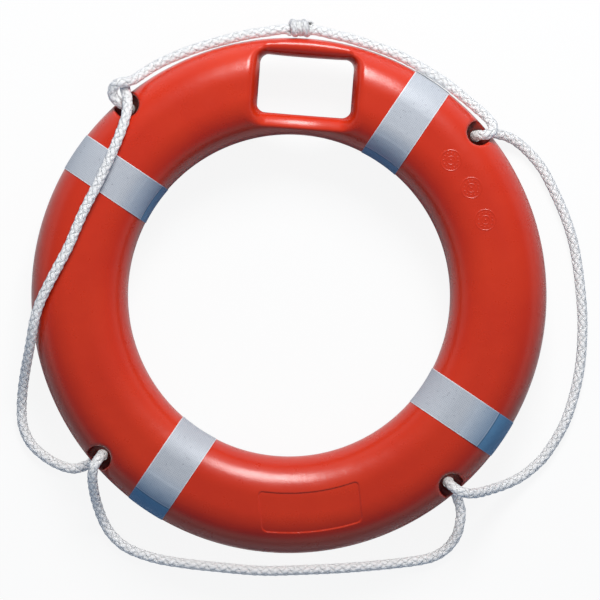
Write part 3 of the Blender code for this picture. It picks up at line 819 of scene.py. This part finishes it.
class Nodes:
    """Short calls for a node tree. A node's inputs are given by name, or by number after an underscore."""

    def __init__(self, tree):
        self.tree = tree

    def give(self, socket, value):
        if isinstance(value, bpy.types.NodeSocket):
            self.tree.links.new(value, socket)
        else:
            socket.default_value = value

    def add(self, kind, settings=None, **inputs):
        node = self.tree.nodes.new(kind)
        for name, value in (settings or {}).items():
            setattr(node, name, value)
        for name, value in inputs.items():
            self.give(node.inputs[int(name[1:]) if name[0] == "_" else name.replace("_", " ")], value)
        return node

    def mixed(self, factor, first, second):
        node = self.add("ShaderNodeMix", {"data_type": "RGBA"})
        sockets = [socket for socket in node.inputs if socket.enabled]
        for socket, value in zip(sockets, (factor, first, second)):
            self.give(socket, value)
        return next(socket for socket in node.outputs if socket.enabled)

    def maths(self, operation, first, second=0.0, clamped=False):
        settings = {"operation": operation, "use_clamp": clamped}
        return self.add("ShaderNodeMath", settings, _0=first, _1=second).outputs[0]

    def noise(self, spot, scale, detail, roughness=0.5):
        node = self.add("ShaderNodeTexNoise", Vector=spot, Scale=scale, Detail=detail, Roughness=roughness)
        return node.outputs["Fac"]

    def ranged(self, value, low, high, to_low=0.0, to_high=1.0):
        node = self.add("ShaderNodeMapRange", Value=value, From_Min=low, From_Max=high, To_Min=to_low,
                        To_Max=to_high)
        return node.outputs[0]

    def steps(self, value, stops):
        """A number that runs straight from stop to stop, each given as (value, result)."""
        low, high = stops[0][0], stops[-1][0]
        ramp = self.add("ShaderNodeValToRGB", Fac=self.ranged(value, low, high))
        elements = ramp.color_ramp.elements
        for _ in stops[2:]:
            elements.new(0.5)
        for element, (at, result) in zip(elements, stops):
            element.position = (at - low) / (high - low)
            element.color = (result, result, result, 1)
        return ramp.outputs["Color"]

    def bump(self, height, strength, distance, normal=None):
        node = self.add("ShaderNodeBump", Height=height, Strength=strength, Distance=distance)
        if normal is not None:
            self.tree.links.new(normal, node.inputs["Normal"])
        return node.outputs["Normal"]


class Material(Nodes):
    """A material and its main shader."""

    def __init__(self, name):
        self.material = bpy.data.materials.new(name)
        self.material.use_nodes = True
        super().__init__(self.material.node_tree)
        self.shader = self.tree.nodes["Principled BSDF"]

    def link(self, output, name):
        self.tree.links.new(output, self.shader.inputs[name])

    def set(self, **values):
        for name, value in values.items():
            self.shader.inputs[name.replace("_", " ")].default_value = value


def moulded_plastic():
    """Satin orange polyethylene with a fine orange-peel skin, faint mottling and light scuffs, and painted
    shade that darkens the rope pockets.
    """
    nodes = Material("moulded_orange_plastic")
    spot = nodes.add("ShaderNodeTexCoord").outputs["Object"]
    colour = nodes.mixed(nodes.noise(spot, 9.0, 4.0, 0.6), (0.54, 0.016, 0.004, 1), (0.69, 0.039, 0.007, 1))
    pocket_shade = nodes.add("ShaderNodeAttribute", {"attribute_name": "pocket_shade"}).outputs["Fac"]
    # Painted shade: the plastic turns a dark brown-red deep in the rope pockets, standing in for the shade
    # that falls there
    colour = nodes.mixed(nodes.maths("MULTIPLY", pocket_shade, 0.72), colour, (0.030, 0.010, 0.008, 1))
    nodes.link(colour, "Base Color")
    nodes.link(nodes.ranged(nodes.noise(spot, 38.0, 5.0, 0.65), 0.0, 1.0, 0.23, 0.34), "Roughness")
    waves = nodes.bump(nodes.noise(spot, 34.0, 2.0), 0.35, 0.0012)
    nodes.link(nodes.bump(nodes.noise(spot, 520.0, 2.0), 0.35, 0.00022, waves), "Normal")
    nodes.set(IOR=1.5, Specular_IOR_Level=0.52)
    return nodes.material


def braided_rope():
    """White spun fibre: fine yarns twisted along each strand, matt, and a little soiled."""
    nodes = Material("white_braided_rope")
    spot = nodes.add("ShaderNodeTexCoord").outputs["Object"]
    strand = nodes.add("ShaderNodeUVMap", {"uv_map": "strand"}).outputs["UV"]
    colour = nodes.mixed(nodes.noise(spot, 26.0, 4.0, 0.6), (0.80, 0.80, 0.79, 1), (0.90, 0.90, 0.90, 1))
    nodes.link(colour, "Base Color")
    place_yarn = nodes.add("ShaderNodeMapping", Vector=strand, Scale=(6.0, 9.0, 1.0), Rotation=(0, 0, 0.35))
    yarn = nodes.add("ShaderNodeTexWave", {"bands_direction": "Y"}, Vector=place_yarn.outputs[0], Scale=0.55,
                     Distortion=0.6, Detail=2.0)
    twist = nodes.bump(yarn.outputs["Fac"], 0.6, 0.0004)
    nodes.link(nodes.bump(nodes.noise(spot, 900.0, 2.0), 0.2, 0.0001, twist), "Normal")
    nodes.set(Roughness=0.82, Sheen_Weight=0.15, Specular_IOR_Level=0.3, Subsurface_Weight=0.5,
              Subsurface_Scale=0.003, Subsurface_Radius=(1.0, 1.0, 1.0))
    return nodes.material


def reflective_tape():
    """Silver retroreflective sheet with a fine net of welded cells. It has painted shade about its end: a
    blue band that stands for the dark blue reflection of a shaded flank. A light and a dark line mark the
    end itself. Its places are millimetres from there."""
    nodes = Material("silver_reflective_tape")
    spot = nodes.add("ShaderNodeTexCoord").outputs["UV"]
    cells = nodes.add("ShaderNodeTexVoronoi", {"feature": "DISTANCE_TO_EDGE"}, Vector=spot, Scale=0.45,
                      Randomness=0.12)
    lines = nodes.ranged(cells.outputs["Distance"], 0.03, 0.14)
    fill = nodes.mixed(nodes.noise(spot, 0.55, 4.0, 0.75), (0.24, 0.27, 0.32, 1), (0.66, 0.69, 0.74, 1))
    worn = nodes.noise(spot, 0.15, 5.0, 0.7)
    fill = nodes.mixed(nodes.ranged(worn, 0.61, 0.68), fill, (0.17, 0.18, 0.23, 1))
    net = nodes.mixed(lines, (0.63, 0.65, 0.68, 1), fill)
    parts = nodes.add("ShaderNodeSeparateXYZ", Vector=spot)
    sides = nodes.ranged(nodes.maths("ABSOLUTE", parts.outputs["Y"]), 24.0, 24.3)
    net = nodes.mixed(sides, net, (0.80, 0.82, 0.84, 1))
    from_end = parts.outputs["X"]
    # Painted shade: a dark blue band about the tape's end, standing in for the blue reflection that a shaded
    # flank shows
    blue = nodes.mixed(worn, (0.02, 0.18, 0.40, 1), (0.08, 0.34, 0.60, 1))
    net = nodes.mixed(nodes.steps(from_end, ((-40, 0.0), (-0.4, 0.42), (0.4, 0.8), (48, 0.8), (62, 0.0))),
                      net, blue)
    light_edge = nodes.steps(from_end, ((-1.0, 0.0), (-0.7, 0.6), (0.7, 0.6), (1.0, 0.0)))
    net = nodes.mixed(light_edge, net, (0.62, 0.68, 0.76, 1))
    dark_edge = nodes.steps(from_end, ((0.8, 0.0), (1.0, 0.6), (2.2, 0.6), (2.6, 0.0)))
    nodes.link(nodes.mixed(dark_edge, net, (0.05, 0.11, 0.19, 1)), "Base Color")
    wrinkle = nodes.bump(nodes.noise(spot, 0.05, 2.0), 0.5, 0.0012)
    nodes.link(nodes.bump(lines, 0.3, 0.0001, wrinkle), "Normal")
    nodes.set(Roughness=0.50, Metallic=0.12, Specular_IOR_Level=0.22)
    return nodes.material


def plain_plastic(name, colour, roughness):
    nodes = Material(name)
    spot = nodes.add("ShaderNodeTexCoord").outputs["Object"]
    mottle = nodes.noise(spot, 60.0, 4.0)
    darker = tuple(channel * 0.82 for channel in colour)
    nodes.link(nodes.mixed(mottle, (*darker, 1), (*colour, 1)), "Base Color")
    nodes.link(nodes.bump(mottle, 0.3, 0.0002), "Normal")
    nodes.set(Roughness=roughness)
    return nodes.material


# The stage and its light


def straight_rays(nodes):
    """1 for the rays that show the background itself: to the camera, in a gloss and through glass."""
    path = nodes.add("ShaderNodeLightPath")
    total = path.outputs["Is Camera Ray"]
    for name in ("Is Glossy Ray", "Is Transmission Ray"):
        total = nodes.maths("ADD", total, path.outputs[name], clamped=True)
    return total


def make_floor():
    """A white table that keeps the ring's shadow. It throws little light back, so that the ring's sides
    turn dark and a little blue towards it."""
    signs = ((-1, -1), (1, -1), (1, 1), (-1, 1))
    corners = [(FLOOR_HALF * along, FLOOR_HALF * out, -FLOOR_DROP) for along, out in signs]
    floor = object_from("floor", corners, [(0, 1, 2, 3)], smooth_faces=False)
    material = bpy.data.materials.new("white_table")
    material.use_nodes = True
    material.node_tree.nodes.clear()
    nodes = Nodes(material.node_tree)
    colour = nodes.mixed(straight_rays(nodes), FLOOR_BOUNCE, FLOOR_WHITE)
    matt = nodes.add("ShaderNodeBsdfDiffuse", Color=colour)
    glow = nodes.add("ShaderNodeEmission", Strength=1.0)
    seen = nodes.add("ShaderNodeLightPath").outputs["Is Camera Ray"]
    blend = nodes.add("ShaderNodeMixShader", _0=nodes.maths("MULTIPLY", seen, FLOOR_GLOW),
                      _1=matt.outputs[0], _2=glow.outputs[0])
    nodes.add("ShaderNodeOutputMaterial", Surface=blend.outputs[0])
    floor.data.materials.append(material)


def make_world():
    """Soft light from overhead and beyond the hand slot, blue and dim from low down, and a white backdrop
    round the table."""
    world = bpy.data.worlds.new("studio")
    bpy.context.scene.world = world
    world.use_nodes = True
    world.node_tree.nodes.clear()
    nodes = Nodes(world.node_tree)
    facing = nodes.add("ShaderNodeTexCoord").outputs["Generated"]
    towards = nodes.add("ShaderNodeVectorMath", {"operation": "DOT_PRODUCT"}, _0=facing, _1=SKY_FROM)
    sky = nodes.mixed(nodes.ranged(towards.outputs["Value"], 0.05, 0.75), SKY_LOW, SKY_HIGH)
    soft = nodes.add("ShaderNodeBackground", Color=sky)
    white = nodes.add("ShaderNodeBackground", Color=BACKDROP_WHITE, Strength=1.0)
    height = nodes.add("ShaderNodeSeparateXYZ", Vector=facing).outputs["Z"]
    share = nodes.maths("MULTIPLY", straight_rays(nodes), nodes.ranged(height, 0.45, 0.15))
    blend = nodes.add("ShaderNodeMixShader", _0=share, _1=soft.outputs[0], _2=white.outputs[0])
    nodes.add("ShaderNodeOutputWorld", Surface=blend.outputs[0])


def make_lamps(grab_line):
    """A soft lamp beyond the hand slot. The white rope has lamps of its own, so that the ring's shadow
    doesn't turn it grey."""
    key = add_area_light("key", KEY_PLACE, size=1.1, power=82.0)
    rope_key = add_area_light("rope_key", KEY_PLACE, size=1.5, power=64.0)
    rope_fill = add_area_light("rope_fill", ROPE_FILL_PLACE, size=1.6, power=50.0)
    rope_only = bpy.data.collections.new("grab_line")
    all_but_rope = bpy.data.collections.new("all_but_the_grab_line")
    for piece in grab_line:
        rope_only.objects.link(piece)
        all_but_rope.objects.link(piece)
    for kept_out in all_but_rope.collection_objects:
        kept_out.light_linking.link_state = "EXCLUDE"
    key.light_linking.receiver_collection = all_but_rope
    for lamp in (rope_key, rope_fill):
        lamp.light_linking.receiver_collection = rope_only
        lamp.light_linking.blocker_collection = rope_only


def add_area_light(name, location, size, power):
    data = bpy.data.lights.new(name, "AREA")
    data.size = size
    data.energy = power
    light = put_in_scene(name, data)
    light.location = location
    light.rotation_euler = (Vector(LAMP_TARGET) - Vector(location)).to_track_quat("-Z", "Y").to_euler()
    return light


def give_material(node, material):
    thing = bpy.data.objects[node]
    if thing.material_slots:
        thing.material_slots[0].material = material
    else:
        thing.data.materials.append(material)


def main():
    bpy.context.scene.view_settings.view_transform = "Standard"
    make_camera()
    rope = braided_rope()
    stretches = make_grab_line(rope)
    knot = make_knot(rope)
    make_skins(moulded_plastic())
    tape = reflective_tape()
    for place_name, (angle, end_share, side) in TAPES.items():
        make_tape(place_name, angle, end_share, side, tape)
    plug = plain_plastic("plug_plastic", (0.50, 0.036, 0.014), 0.45)
    for node in ("fill_plug", "vent_plug"):
        give_material(node, plug)
    give_material("foam_core", plain_plastic("foam", (0.80, 0.66, 0.36), 0.95))
    make_floor()
    make_world()
    make_lamps([piece for piece, path, length in stretches.values()] + [knot])


main()
